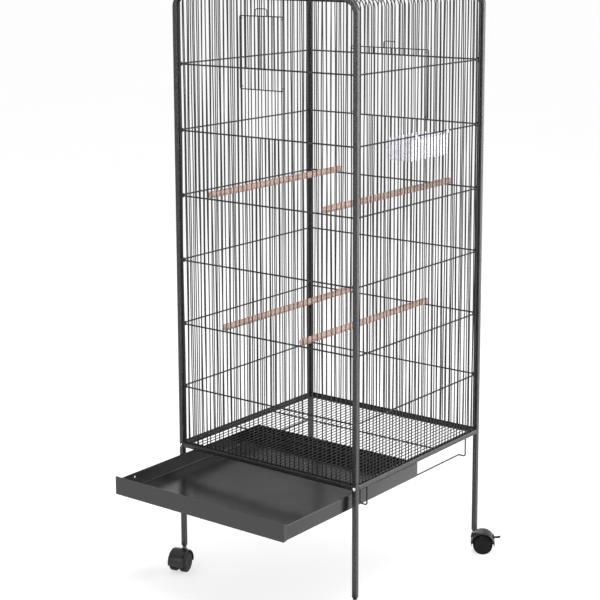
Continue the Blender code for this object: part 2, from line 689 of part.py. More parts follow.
def main():
    clear_scene()
    root = add_empty("bird_cage", (0.0, 0.0, 0.0))
    build_hoop("front_hoop", 0.0)
    build_hoop("back_hoop", SPAN)
    build_side_bar("side_bar_left", 0.0)
    build_side_bar("side_bar_right", SPAN)
    for tag, x in (("left", 0.0), ("right", SPAN)):
        build_bolt("bolt_front_" + tag, x, 0.0, -1)
        build_bolt("bolt_back_" + tag, x, SPAN, 1)
    build_end_panel("front_panel", 0.0, -1, FRONT_DOOR)
    build_end_panel("back_panel", SPAN, 1, BACK_DOOR)
    build_side_panel("left_panel", 0.0, -1)
    build_side_panel("right_panel", SPAN, 1)
    build_roof("roof_panel")
    build_door("front_door", 0.0, -1, FRONT_DOOR)
    build_door("back_door", SPAN, 1, BACK_DOOR)
    build_grate("floor_grate")
    build_bearer("grate_bearer_front", BEARER_Y[0])
    build_bearer("grate_bearer_back", BEARER_Y[1])
    build_tray("tray")
    build_rail("tray_rail_right", False)
    build_rail("tray_rail_left", True)
    for name, x, level in PERCHES:
        build_perch(name, x, level)
    build_cup("feeder_cup")
    for tag, x, y, angle, lever in CASTERS:
        build_caster(tag, x, y, angle, lever, root)
    for ob in bpy.data.objects:
        if ob.type == "MESH" and ob.parent is None:
            ob.parent = root
    centre_on_footprint(root)


main()
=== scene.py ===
"""Looks of the square wire bird cage on its rolling stand.

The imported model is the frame. Every visible piece is built here in the cage's own
millimetres, measured from the foot of the front left post (x to the right, y to the
back, z up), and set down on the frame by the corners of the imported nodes.
"""
import json
import math

import bmesh
import bpy
from mathutils import Matrix, Quaternion, Vector


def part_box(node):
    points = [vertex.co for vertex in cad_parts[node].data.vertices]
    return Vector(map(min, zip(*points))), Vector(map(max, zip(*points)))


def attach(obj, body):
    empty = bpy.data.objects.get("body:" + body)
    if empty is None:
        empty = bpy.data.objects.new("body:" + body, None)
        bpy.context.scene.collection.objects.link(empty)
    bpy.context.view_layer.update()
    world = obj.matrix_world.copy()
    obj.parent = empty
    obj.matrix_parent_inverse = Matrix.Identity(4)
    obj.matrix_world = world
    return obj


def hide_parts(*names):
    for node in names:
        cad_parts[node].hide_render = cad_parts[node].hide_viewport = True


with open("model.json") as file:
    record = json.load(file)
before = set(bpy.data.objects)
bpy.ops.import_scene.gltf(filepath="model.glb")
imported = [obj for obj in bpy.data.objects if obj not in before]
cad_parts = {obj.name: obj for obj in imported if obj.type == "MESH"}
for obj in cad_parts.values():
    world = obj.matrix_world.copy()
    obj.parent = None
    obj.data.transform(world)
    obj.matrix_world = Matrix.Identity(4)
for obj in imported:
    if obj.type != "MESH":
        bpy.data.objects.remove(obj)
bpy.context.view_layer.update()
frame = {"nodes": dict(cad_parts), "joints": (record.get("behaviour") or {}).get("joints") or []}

# ------------------------------------------------------------------ frame measures
hoop_lo, hoop_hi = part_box("front_hoop")
bar_lo, bar_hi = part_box("side_bar_left")
TUBE = (hoop_hi.y - hoop_lo.y) * 1000
ORIGIN = Vector((hoop_lo.x + TUBE / 2000, hoop_lo.y + TUBE / 2000, 0.0))
SPAN = (hoop_hi.x - hoop_lo.x) * 1000 - TUBE       # between post centres, both ways
TOP = hoop_hi.z * 1000
FOOT = hoop_lo.z * 1000
BAR_LOW, BAR_TOP = bar_lo.z * 1000, bar_hi.z * 1000
BAR_MID = (BAR_LOW + BAR_TOP) / 2

# ------------------------------------------------------------------ wire work measures
HOOP_BEND = 34.0
PITCH = 13.6
N_WIRE = 38
STATIONS = [SPAN / 2 + (i - (N_WIRE - 1) / 2) * PITCH for i in range(N_WIRE)]
LEVELS = [476.0 + 160.0 * i for i in range(6)]
Z_L2, Z_L1 = LEVELS[4], LEVELS[5]
ROOF_Z = 1444.0
ROOF_BEND = 24.0
ROOF_CROSS = (185.0, 345.0)

R_UP = 1.33            # upright wire, round with the section of the square solid
R_CROSS = 1.9          # horizontal and border wire, a little over the square solid's
OUT = 1.3              # uprights lie outside the post plane by this
IN = 1.15              # horizontals lie inside it by this
RIM = 1.6              # border wire's centre from the tubes round it
CUT_END = 0.6          # uprights run past the border wire's centre by this
EDGE_R = 1.9           # corner radius of the square tube


def clamp(v, lo, hi):
    return max(lo, min(hi, v))


def cage_box(node):
    """A node's lowest and highest corners in cage millimetres."""
    return [(corner - ORIGIN) * 1000 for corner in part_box(node)]


# ------------------------------------------------------------------ mesh helpers
def rounded(path, radius, steps=6):
    """Polyline with its inner corners turned into arcs; radius may be one per corner."""
    pts = [Vector(p) for p in path]
    out = [pts[0]]
    for i in range(1, len(pts) - 1):
        r = radius[i - 1] if hasattr(radius, "__len__") else radius
        a, b, c = pts[i - 1], pts[i], pts[i + 1]
        d1, d2 = (a - b), (c - b)
        l1, l2 = d1.length, d2.length
        d1.normalize(), d2.normalize()
        ang = d1.angle(d2)
        if ang > math.pi - 1e-3 or r <= 0:
            out.append(b)
            continue
        t = min(r / math.tan(ang / 2), 0.49 * l1, 0.49 * l2)
        rr = t * math.tan(ang / 2)
        centre = b + (d1 + d2).normalized() * (rr / math.sin(ang / 2))
        v1, v2 = b + d1 * t - centre, b + d2 * t - centre
        axis = v1.cross(v2).normalized()
        total = v1.angle(v2)
        for k in range(steps + 1):
            out.append(centre + Quaternion(axis, total * k / steps) @ v1)
    out.append(pts[-1])
    return out


def circle(r, sides):
    return [(r * math.cos(2 * math.pi * i / sides), r * math.sin(2 * math.pi * i / sides))
            for i in range(sides)]


def rounded_box(x0, y0, x1, y1, r, steps):
    """Outline of a rectangle with its corners rounded, from the far right corner round."""
    out = []
    for cx, cy, a0 in ((x1 - r, y1 - r, 0), (x0 + r, y1 - r, 90), (x0 + r, y0 + r, 180),
                       (x1 - r, y0 + r, 270)):
        out += arc(cx, cy, r, a0, a0 + 90, steps)
    return out


def rounded_square(size, r, steps=3):
    return rounded_box(-size / 2, -size / 2, size / 2, size / 2, r, steps)


def bridge(bm, a, b, closed=True):
    """Faces between two rows of corners; a row of one corner is a point."""
    m = max(len(a), len(b))
    for i in range(m if closed else m - 1):
        j = (i + 1) % m
        if len(a) == 1:
            bm.faces.new((a[0], b[i], b[j]))
        elif len(b) == 1:
            bm.faces.new((a[i], b[0], a[j]))
        else:
            bm.faces.new((a[i], a[j], b[j], b[i]))


def cap(bm, rows):
    """Close a run of rows with a face at each end."""
    bm.faces.new(rows[0])
    bm.faces.new(list(reversed(rows[-1])))


def sweep(bm, path, section, side=None, closed=False, scales=None):
    """Sweep a closed section along a path. side fixes the section's first axis."""
    pts = [Vector(p) for p in path]
    n = len(pts)
    tang = []
    for i in range(n):
        if closed:
            a, b = pts[(i - 1) % n], pts[(i + 1) % n]
            d = (pts[i] - a).normalized() + (b - pts[i]).normalized()
        elif i == 0:
            d = pts[1] - pts[0]
        elif i == n - 1:
            d = pts[-1] - pts[-2]
        else:
            d = (pts[i] - pts[i - 1]).normalized() + (pts[i + 1] - pts[i]).normalized()
        tang.append(d.normalized())
    u = Vector(side) if side is not None else tang[0].orthogonal().normalized()
    rings = []
    for i in range(n):
        if side is None and i > 0:
            u = tang[i - 1].rotation_difference(tang[i]) @ u
        uu = (u - tang[i] * u.dot(tang[i])).normalized()
        v = tang[i].cross(uu)
        s = 1.0 if scales is None else scales[i]
        rings.append([bm.verts.new(pts[i] + uu * (a * s) + v * (b * s)) for a, b in section])
    if not closed:
        cap(bm, rings)
    for a, b in zip(rings, rings[1:] + ([rings[0]] if closed else [])):
        bridge(bm, a, b)


def wire(bm, path, r, sides=10, closed=False, tip=0.0):
    """Round wire. tip rounds the cut ends by that much."""
    pts = [Vector(p) for p in path]
    scales = None
    if tip and not closed:
        d0 = (pts[1] - pts[0]).normalized()
        d1 = (pts[-1] - pts[-2]).normalized()
        pts = [pts[0], pts[0] + d0 * tip] + pts[1:-1] + [pts[-1] - d1 * tip, pts[-1]]
        scales = [1 - 0.5 * tip / r, 1] + [1] * (len(pts) - 4) + [1, 1 - 0.5 * tip / r]
    sweep(bm, pts, circle(r, sides), closed=closed, scales=scales)


def stray(path, axis, k, step=44.0):
    """The path divided into short runs that wander a little sideways, as drawn wire does."""
    pts = [Vector(path[0])]
    for a, b in zip(path, path[1:]):
        a, b = Vector(a), Vector(b)
        n = max(1, round((b - a).length / step))
        pts += [a.lerp(b, i / n) for i in range(1, n + 1)]
    out, s = [], pts[0].z
    for i, p in enumerate(pts):
        s += (p - pts[i - 1]).length if i else 0.0
        q = p.copy()
        q[axis] += 1.1 * math.sin(s / 190 + 2.4 * k) + 0.7 * math.sin(s / 83 + 4.1 * k)
        out.append(q)
    return out


def lathe(bm, profile, sides, m):
    """Turn (radius, height) pairs about the Z of m; a zero radius closes on the axis."""
    rows = []
    for r, h in profile:
        if r == 0:
            rows.append([bm.verts.new(m @ Vector((0, 0, h)))])
        else:
            rows.append([bm.verts.new(m @ Vector((r * math.cos(2 * math.pi * i / sides),
                                                  r * math.sin(2 * math.pi * i / sides), h)))
                         for i in range(sides)])
    loop = rows + ([rows[0]] if profile[0][0] else [])
    for a, b in zip(loop, loop[1:]):
        bridge(bm, a, b)


def arc(cx, cy, r, a0, a1, n):
    return [(cx + r * math.cos(math.radians(a0 + (a1 - a0) * i / n)),
             cy + r * math.sin(math.radians(a0 + (a1 - a0) * i / n))) for i in range(n + 1)]


def weld_bead(bm, centre, half, r, seed):
    """Irregular fillet round the end of a square tube that runs along x."""
    c, u, v = Vector(centre), Vector((0, 0, 1)), Vector((0, -1, 0))
    sec = rounded_square(2 * half, 1.6, 4)
    pts, scales, per = [], [], []
    for i in range(len(sec)):
        a, b = sec[i], sec[(i + 1) % len(sec)]
        steps = max(1, round(math.dist(a, b) / 1.2))
        per += [(a[0] + (b[0] - a[0]) * k / steps, a[1] + (b[1] - a[1]) * k / steps)
                for k in range(steps)]
    for k, (a, b) in enumerate(per):
        wob = 0.22 * math.sin(k * 1.9 + seed) + 0.14 * math.sin(k * 0.7 + 2.1 * seed)
        pts.append(c + u * a + v * b)
        scales.append(1 + wob)
    sweep(bm, pts, circle(r, 6), closed=True, scales=scales)


def blob(bm, centre, rx, ry, rz, seed, sides=10, rings=6):
    """Small solid weld nugget."""
    c = Vector(centre)
    rows = []
    for j in range(rings + 1):
        t = math.pi * j / rings
        if j in (0, rings):
            rows.append([bm.verts.new(c + Vector((0, 0, rz * math.cos(t))))])
            continue
        row = []
        for i in range(sides):
            p = 2 * math.pi * i / sides
            k = 1 + 0.14 * math.sin(2 * p + seed + j) + 0.08 * math.sin(3 * p + 2.3 * seed)
            row.append(bm.verts.new(c + Vector((rx * k * math.sin(t) * math.cos(p),
                                                ry * k * math.sin(t) * math.sin(p),
                                                rz * math.cos(t)))))
        rows.append(row)
    for a, b in zip(rows, rows[1:]):
        bridge(bm, a, b)


def prism(bm, outline, lo, hi, m=Matrix.Identity(4)):
    """Extrude an (x, z) outline along the y of m from lo to hi."""
    rows = [[bm.verts.new(m @ Vector((x, y, z))) for x, z in outline] for y in (lo, hi)]
    cap(bm, rows)
    bridge(bm, *rows)


def cut(bm, tool):
    """bm with the tool taken away from it; both are closed."""
    obs = []
    for part in (bm, tool):
        bmesh.ops.recalc_face_normals(part, faces=part.faces)
        me = bpy.data.meshes.new("cut_step")
        part.to_mesh(me)
        part.free()
        obs.append(bpy.data.objects.new("cut_step", me))
        bpy.context.scene.collection.objects.link(obs[-1])
    mod = obs[0].modifiers.new("cut", "BOOLEAN")
    mod.operation, mod.solver, mod.object = "DIFFERENCE", "EXACT", obs[1]
    done = obs[0].evaluated_get(bpy.context.evaluated_depsgraph_get())
    out = bmesh.new()
    out.from_mesh(done.to_mesh())
    done.to_mesh_clear()
    for ob in obs:
        me = ob.data
        bpy.data.objects.remove(ob, do_unlink=True)
        bpy.data.meshes.remove(me)
    return out


def piece(name, bm, mats, body, replaces, bevel=None, sharp=38.0):
    """Cage millimetres to metres, an object on its body, standing for its CAD nodes."""
    bmesh.ops.recalc_face_normals(bm, faces=bm.faces)
    for v in bm.verts:
        v.co = ORIGIN + v.co / 1000
    me = bpy.data.meshes.new(name)
    bm.to_mesh(me)
    bm.free()
    ob = bpy.data.objects.new(name, me)
    bpy.context.scene.collection.objects.link(ob)
    for m in mats:
        me.materials.append(m)
    me.shade_smooth()
    if bevel:
        mod = ob.modifiers.new("edge", "BEVEL")
        mod.width, mod.segments, mod.limit_method = bevel / 1000, 2, "ANGLE"
        mod.angle_limit = math.radians(30)
        mod.harden_normals = True
    else:
        me.set_sharp_from_angle(angle=math.radians(sharp))
    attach(ob, body)
    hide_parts(*replaces)


# ------------------------------------------------------------------ materials
class Nodes:
    """Short-hand for building a node material on object coordinates, in metres."""

    def __init__(self, name):
        self.mat = bpy.data.materials.new(name)
        self.mat.use_nodes = True
        self.tree = self.mat.node_tree
        self.bsdf = self.tree.nodes["Principled BSDF"]
        self.coord = self.add("ShaderNodeTexCoord").outputs["Object"]

    def add(self, kind, **props):
        n = self.tree.nodes.new(kind)
        for k, v in props.items():
            setattr(n, k, v)
        return n

    def link(self, a, b):
        self.tree.links.new(a, b)

    def mapping(self, scale):
        n = self.add("ShaderNodeMapping")
        n.inputs["Scale"].default_value = scale
        self.link(self.coord, n.inputs["Vector"])
        return n.outputs["Vector"]

    def noise(self, scale, detail=3.0, rough=0.55, vector=None, distortion=0.0):
        n = self.add("ShaderNodeTexNoise")
        n.inputs["Scale"].default_value = scale
        n.inputs["Detail"].default_value = detail
        n.inputs["Roughness"].default_value = rough
        n.inputs["Distortion"].default_value = distortion
        self.link(vector or self.coord, n.inputs["Vector"])
        return n.outputs["Fac"]

    def voronoi(self, scale):
        n = self.add("ShaderNodeTexVoronoi")
        n.inputs["Scale"].default_value = scale
        self.link(self.coord, n.inputs["Vector"])
        return n.outputs["Distance"]

    def ramp(self, fac, stops):
        """Colour stops, or plain numbers for a mask."""
        n = self.add("ShaderNodeValToRGB")
        e = n.color_ramp.elements
        while len(e) < len(stops):
            e.new(0.5)
        for k, (pos, col) in enumerate(stops):
            e[k].position = pos
            e[k].color = (*col, 1.0) if hasattr(col, "__len__") else (col, col, col, 1.0)
        self.link(fac, n.inputs["Fac"])
        return n.outputs["Color"]

    def math(self, op, a, b):
        n = self.add("ShaderNodeMath", operation=op)
        for k, v in enumerate((a, b)):
            if hasattr(v, "node"):
                self.link(v, n.inputs[k])
            else:
                n.inputs[k].default_value = v
        return n.outputs[0]

    def range(self, fac, lo, hi, a=0.0, b=1.0):
        """lo to hi as fac goes from a to b."""
        n = self.add("ShaderNodeMapRange")
        n.inputs["From Min"].default_value = a
        n.inputs["From Max"].default_value = b
        n.inputs["To Min"].default_value = lo
        n.inputs["To Max"].default_value = hi
        self.link(fac, n.inputs["Value"])
        return n.outputs["Result"]

    def mix(self, fac, a, b):
        n = self.add("ShaderNodeMix", data_type="RGBA")
        self.link(fac, n.inputs["Factor"])
        for key, v in (("A", a), ("B", b)):
            sock = [s for s in n.inputs if s.name == key and s.type == "RGBA"][0]
            if hasattr(v, "node"):
                self.link(v, sock)
            else:
                sock.default_value = (*v, 1.0)
        return [s for s in n.outputs if s.type == "RGBA"][0]

    def colour(self, v):
        self.link(v, self.bsdf.inputs["Base Color"])

    def rough(self, v):
        self.link(v, self.bsdf.inputs["Roughness"])

    def bump(self, height, distance, strength):
        n = self.add("ShaderNodeBump")
        n.inputs["Distance"].default_value = distance
        n.inputs["Strength"].default_value = strength
        self.link(height, n.inputs["Height"])
        self.link(n.outputs["Normal"], self.bsdf.inputs["Normal"])

    def set(self, **values):
        for k, v in values.items():
            self.bsdf.inputs[k.replace("_", " ")].default_value = v


def powder_hammered():
    """Black hammered powder coat: pebbled bump, small light flecks painted into the colour as
    highlights standing in for the glints of the hammered facets, uneven gloss.
    """
    n = Nodes("powder_hammered")
    peb = n.voronoi(430.0)
    fine = n.noise(1500.0, 2.0)
    broad = n.noise(22.0, 3.0)
    height = n.math("ADD", n.math("MULTIPLY", peb, 0.9), n.math("MULTIPLY", fine, 0.35))
    # painted highlights: small light dots in the base colour stand in for glints on the hammered coat
    painted_glint_flecks = n.ramp(n.voronoi(330.0), [(0.0, (0.24, 0.245, 0.260)), (0.22, (0.040, 0.041, 0.044)),
                                      (0.50, (0.005, 0.005, 0.006))])
    n.colour(n.mix(n.range(broad, 0.0, 0.4, 0.35, 0.7), painted_glint_flecks, (0.010, 0.010, 0.012)))
    n.rough(n.range(n.math("ADD", peb, n.math("MULTIPLY", broad, 0.6)), 0.22, 0.44, 0.2, 1.0))
    n.bump(height, 0.0007, 0.7)
    n.set(Specular_IOR_Level=0.6)
    return n.mat


def powder_wire():
    """Satin black coat on drawn wire: faint flow marks and gloss changes."""
    n = Nodes("powder_wire")
    flow = n.noise(160.0, 4.0, 0.6, n.mapping((1.0, 1.0, 0.35)))
    fine = n.noise(900.0, 2.0)
    n.colour(n.ramp(flow, [(0.25, (0.010, 0.010, 0.011)), (0.55, (0.020, 0.020, 0.022)),
                           (0.85, (0.036, 0.036, 0.039))]))
    n.rough(n.range(flow, 0.34, 0.52, 0.2, 0.8))
    n.bump(n.math("ADD", n.math("MULTIPLY", fine, 0.5), flow), 0.00018, 0.5)
    n.set(Specular_IOR_Level=0.35)
    return n.mat


def powder_tray():
    """Semi-gloss black coat on thin sheet steel: fine grain, faint marks, a slight wave."""
    n = Nodes("powder_tray")
    grain = n.noise(1300.0, 3.0, 0.65)
    cloud = n.noise(7.0, 4.0, 0.6)
    marks = n.noise(30.0, 4.0, 0.6, n.mapping((6.0, 0.4, 3.0)))
    base = n.ramp(cloud, [(0.25, (0.003, 0.003, 0.0032)), (0.75, (0.006, 0.006, 0.0063))])
    speck = n.mix(n.range(grain, 0.0, 0.30, 0.35, 0.75), base, (0.011, 0.011, 0.0115))
    n.colour(n.mix(n.range(marks, 0.0, 0.30, 0.5, 0.85), speck, (0.016, 0.016, 0.017)))
    n.rough(n.range(n.math("ADD", cloud, n.math("MULTIPLY", marks, 0.3)), 0.17, 0.30, 0.4, 1.0))
    wave = n.noise(4.0, 1.0, 0.4)
    n.bump(n.math("ADD", n.math("MULTIPLY", grain, 0.003), wave), 0.005, 0.5)
    n.set(Specular_IOR_Level=0.65)
    return n.mat


def turned_wood():
    """Pinkish-tan hardwood dowel: long fibres, darker pores, soft ring bands."""
    n = Nodes("turned_wood")
    fibre = n.noise(95.0, 6.0, 0.62, n.mapping((5.0, 0.16, 5.0)), 0.3)
    rings = n.noise(26.0, 3.0, 0.5, n.mapping((3.0, 0.05, 3.0)), 0.8)
    pores = n.noise(420.0, 3.0, 0.7, n.mapping((4.5, 0.12, 4.5)))
    knot = n.noise(9.0, 2.0, 0.5, n.mapping((2.0, 1.0, 2.0)))
    base = n.ramp(rings, [(0.22, (0.265, 0.160, 0.122)), (0.48, (0.40, 0.266, 0.217)),
                          (0.74, (0.52, 0.380, 0.322))])
    tone = n.mix(n.range(fibre, 0.0, 0.75, 0.40, 0.72), base, (0.60, 0.445, 0.385))
    dark = n.mix(n.range(knot, 0.0, 0.45, 0.55, 0.8), tone, (0.27, 0.150, 0.105))
    n.colour(n.mix(n.ramp(pores, [(0.60, 0.0), (0.74, 0.7)]), dark, (0.17, 0.095, 0.065)))
    n.rough(n.range(fibre, 0.48, 0.70, 0.3, 0.75))
    n.bump(n.math("SUBTRACT", fibre, n.math("MULTIPLY", pores, 0.6)), 0.0005, 0.6)
    n.set(Specular_IOR_Level=0.35)
    return n.mat


def milky_plastic():
    """Translucent white moulded plastic with faint flow clouds, and a faint painted glow that
    lightens its shaded faces.
    """
    n = Nodes("milky_plastic")
    flow = n.noise(45.0, 4.0, 0.55)
    fine = n.noise(700.0, 2.0)
    n.colour(n.ramp(flow, [(0.3, (0.76, 0.75, 0.80)), (0.7, (0.86, 0.85, 0.89))]))
    n.rough(n.range(flow, 0.24, 0.40, 0.3, 0.75))
    n.bump(fine, 0.0001, 0.35)
    # the emission is a painted glow: the cup gives off faint light of its own to lighten its shaded
    # end face
    n.set(Subsurface_Weight=0.35, Subsurface_Radius=(0.006, 0.006, 0.007), IOR=1.46,
          Emission_Color=(0.80, 0.78, 0.86, 1.0), Emission_Strength=0.18)
    return n.mat


def plated(name, lo, hi, rough_lo, rough_hi):
    """Bright or dull plating with fine hairline variation."""
    n = Nodes(name)
    hair = n.noise(700.0, 5.0, 0.7, n.mapping((1.0, 1.0, 6.0)))
    dull = n.noise(120.0, 3.0)
    n.colour(n.ramp(dull, [(0.3, lo), (0.7, hi)]))
    n.rough(n.range(hair, rough_lo, rough_hi, 0.3, 0.7))
    n.bump(hair, 0.00004, 0.4)
    n.set(Metallic=1.0)
    return n.mat


def moulded_black(name, base, rough_lo, rough_hi, dust=0.0, spec=0.5):
    """Black moulded plastic: leathery sparkle grain, slightly uneven, optional dust."""
    n = Nodes(name)
    grain = n.voronoi(900.0)
    cloud = n.noise(60.0, 4.0, 0.6)
    col = n.ramp(cloud, [(0.3, tuple(c * 0.75 for c in base)), (0.7, tuple(c * 1.5 for c in base))])
    if dust:
        speck = n.ramp(n.noise(380.0, 5.0, 0.7), [(0.52, 0.0), (0.70, dust)])
        col = n.mix(speck, col, (0.16, 0.155, 0.15))
    n.colour(col)
    n.rough(n.range(cloud, rough_lo, rough_hi, 0.3, 0.7))
    n.bump(grain, 0.00012, 0.4)
    n.set(Specular_IOR_Level=spec)
    return n.mat


def floor_paint():
    """Pale matt floor, lit evenly enough to fade into the backdrop."""
    n = Nodes("pale_floor")
    cloud = n.noise(1.2, 3.0)
    n.colour(n.ramp(cloud, [(0.3, (0.545, 0.545, 0.546)), (0.7, (0.560, 0.560, 0.561))]))
    n.rough(n.range(cloud, 0.75, 0.85))
    n.set(Specular_IOR_Level=0.1, Emission_Color=(1.0, 1.0, 1.0, 1.0), Emission_Strength=0.62)
    return n.mat


M_TUBE, M_WIRE, M_TRAY = powder_hammered(), powder_wire(), powder_tray()
M_WOOD, M_CUP = turned_wood(), milky_plastic()
M_BOLT = plated("bolt_plating", (0.62, 0.62, 0.64), (0.78, 0.78, 0.80), 0.12, 0.28)
M_ZINC = plated("zinc_plating", (0.36, 0.36, 0.37), (0.52, 0.52, 0.53), 0.28, 0.45)
M_HOOD = moulded_black("caster_moulding", (0.007, 0.007, 0.008), 0.24, 0.36)
M_WHEEL = moulded_black("wheel_moulding", (0.003, 0.003, 0.004), 0.34, 0.50, 0.10, 0.15)
M_PLUG = moulded_black("plug_moulding", (0.008, 0.008, 0.009), 0.38, 0.52)


# ------------------------------------------------------------------ hoops and bars
def build_hoop(name, node, y, seed):
    """Legs and top in one bent tube, the cross bar welded between them, and the leg plugs."""
    bm = bmesh.new()
    zt = TOP - TUBE / 2
    path = rounded([(0, y, FOOT + 3.4), (0, y, zt), (SPAN, y, zt), (SPAN, y, FOOT + 3.4)],
                   HOOP_BEND, 20)
    sweep(bm, path, rounded_square(TUBE, EDGE_R, 4), side=(0, 1, 0))
    h = TUBE / 2
    sweep(bm, [(h - 0.6, y, BAR_MID), (SPAN - h + 0.6, y, BAR_MID)],
          rounded_square(TUBE - 0.2, EDGE_R, 4), side=(0, 1, 0))
    for k, (x, s) in enumerate(((0.0, 1), (SPAN, -1))):
        weld_bead(bm, (x + s * (h + 0.2), y, BAR_MID), h - 0.2, 0.95, seed + k)
    n_tube = len(bm.faces)
    for x in (0.0, SPAN):                       # plug of the leg, drawn to a small square
        rows = []
        for up, half, r in ((0.0, 3.7, 1.2), (0.7, 4.2, 1.4), (2.6, 5.2, 1.6), (3.2, 5.75, 1.7),
                            (4.4, 5.75, 1.7)):
            rows.append([bm.verts.new((x + a, y + b, FOOT + up))
                         for a, b in rounded_square(2 * half, r, 3)])
        cap(bm, rows)
        for a, b in zip(rows, rows[1:]):
            bridge(bm, a, b)
    for f in list(bm.faces)[n_tube:]:
        f.material_index = 1
    piece(name, bm, [M_TUBE, M_PLUG], "stand", [node])


build_hoop("hoop_tube_front", "front_hoop", 0.0, 0.4)
build_hoop("hoop_tube_back", "back_hoop", SPAN, 1.7)


def build_side_bar(name, node, x):
    bm = bmesh.new()
    h = TUBE / 2
    sweep(bm, [(x, h - 0.2, BAR_MID), (x, SPAN - h + 0.2, BAR_MID)],
          rounded_square(TUBE, EDGE_R, 4), side=(1, 0, 0))
    piece(name, bm, [M_TUBE], "stand", [node])


build_side_bar("base_bar_left", "side_bar_left", 0.0)
build_side_bar("base_bar_right", "side_bar_right", SPAN)


def build_bolt(node, rim=4.6, dome=4.35, skirt=0.95, rise=3.4):
    """Domed bolt head, its skirt let a little into the tube's face."""
    lo, hi = cage_box(node)
    out = -1 if lo.y < SPAN / 2 else 1
    y0 = (lo.y if out > 0 else hi.y) - out * 0.3
    m = Matrix.Translation(((lo.x + hi.x) / 2, y0, (lo.z + hi.z) / 2)) \
        @ Matrix.Rotation(math.radians(90) * -out, 4, "X")
    bm = bmesh.new()
    prof = [(0, 0), (rim - 0.05, 0), (rim, 0.25), (rim, 0.7), (rim - 0.15, skirt)]
    prof += [(dome * math.cos(t), skirt + rise * math.sin(t)) for t in
             [math.pi / 2 * k / 12 for k in range(12)]]
    prof += [(0, skirt + rise)]
    lathe(bm, prof, 40, m)
    piece(node + "_head", bm, [M_BOLT], "stand", [node])


for tag in ("front_left", "front_right", "back_left", "back_right"):
    build_bolt("bolt_" + tag)


# ------------------------------------------------------------------ wire panels
DOORS = {
    "front": dict(mid=SPAN / 2, half=63.0),
    "back": dict(mid=SPAN / 2 - PITCH, half=120.4),
}
PANEL_ENDS = ((TUBE / 2, 1), (SPAN - TUBE / 2, -1))      # tube faces, and the way in from each


def build_end_panel(name, node, y, out, door, seed):
    """Upright wires outside, horizontals inside, border rounded under the hoop."""
    bm = bmesh.new()
    y_in, y_up = y - out * IN, y + out * OUT
    low, top = BAR_TOP + RIM, TOP - TUBE - RIM
    bend = HOOP_BEND - TUBE / 2 - RIM
    lo, hi = TUBE / 2 + RIM, SPAN - TUBE / 2 - RIM
    border = rounded([(SPAN / 2, y_in, low), (hi, y_in, low), (hi, y_in, top), (lo, y_in, top),
                      (lo, y_in, low), (SPAN / 2 - 0.01, y_in, low)], [3, bend, bend, 3], 10)
    wire(bm, border[:-1], R_CROSS, closed=True)
    cy = top - bend
    for k, x in enumerate(STATIONS):
        reach = min(x - lo, hi - x)
        head = top
        if reach < bend:
            head = cy + math.sqrt(max(0.0, bend * bend - (bend - reach) ** 2))
        spans = [(low - CUT_END, head + CUT_END)]
        if abs(x - door["mid"]) < door["half"] - 6.0:       # stops at the doorway
            spans = [(low - CUT_END, Z_L2 + 1.7), (Z_L1 - 1.7, head + CUT_END)]
        beside = abs(abs(x - door["mid"]) - door["half"]) < PITCH      # held by a door's clips
        for z0, z1 in spans:
            run = [(x, y_up, z0), (x, y_up, z1)]
            wire(bm, run if beside else stray(run, 0, k + seed), R_UP, tip=0.35)
    for k, z in enumerate(LEVELS):
        wire(bm, [(TUBE / 2 - 0.4, y_in, z), (SPAN - TUBE / 2 + 0.4, y_in, z)], R_CROSS)
        for x, s in PANEL_ENDS:
            blob(bm, (x + s * 1.2, y_in, z), 2.6, 2.7, 3.2, seed + k)
    piece(name, bm, [M_WIRE], "stand", [node])


build_end_panel("wires_front", "front_panel", 0.0, -1, DOORS["front"], 0.3)
build_end_panel("wires_back", "back_panel", SPAN, 1, DOORS["back"], 1.1)


def build_wrap(name):
    """Side and roof wires: each runs up one side, over the roof and down the other."""
    bm = bmesh.new()
    low = BAR_TOP + RIM
    lo, hi = TUBE / 2 + RIM, SPAN - TUBE / 2 - RIM
    for k, y in enumerate(STATIONS):
        path = rounded([(-OUT, y, low - CUT_END), (-OUT, y, ROOF_Z), (SPAN + OUT, y, ROOF_Z),
                        (SPAN + OUT, y, low - CUT_END)], ROOF_BEND, 10)
        wire(bm, stray(path, 1, k + 0.6), R_UP, tip=0.35)
    for side, (x, s) in enumerate(((IN, 1), (SPAN - IN, -1))):
        wire(bm, [(x, lo - 1.2, low), (x, hi + 1.2, low)], R_CROSS)
        for y in (lo, hi):                      # border wire beside each post
            wire(bm, [(x, y, low), (x, y, ROOF_Z - ROOF_BEND - 4)], R_CROSS, tip=0.4)
        for k, z in enumerate(LEVELS):
            wire(bm, [(x, TUBE / 2 - 0.4, z), (x, SPAN - TUBE / 2 + 0.4, z)], R_CROSS)
            for y, t in PANEL_ENDS:
                blob(bm, (x, y + t * 1.2, z), 2.7, 2.6, 3.2, side + k * 0.7)
                # knot that ties the two panels at the post's inner corner
                blob(bm, (x + s * (TUBE / 2 + 0.4), y + t * 1.0, z), 4.2, 4.2, 6.0, k * 1.3)
    under = ROOF_Z - 2.5
    for x in ROOF_CROSS:
        wire(bm, [(x, TUBE / 2, under), (x, SPAN - TUBE / 2, under)], R_CROSS)
        for y, t in PANEL_ENDS:
            blob(bm, (x, y + t * 0.9, under), 2.3, 1.9, 2.2, x)
    piece(name, bm, [M_WIRE], "stand", ["left_panel", "right_panel", "roof_panel"])


build_wrap("wires_sides_and_roof")


# ------------------------------------------------------------------ lift doors
DOOR_PROUD = 4.35      # door's plane from the post plane
DOOR_ROD = 1.28        # radii of the door's own wires
DOOR_BAR = 0.8
LOOP_ROD = 1.1
HOOK_ROD = 0.95
LOOP_HALF = 17.0
LOOP_RISE = 17.0
HOOK_IN = 6.0          # clips from the door's lower and upper rod
HOOK_ROUND = 2.8       # hook past its edge wire, sideways
HOOK_BEHIND = 1.25     # hook's tail behind the post plane


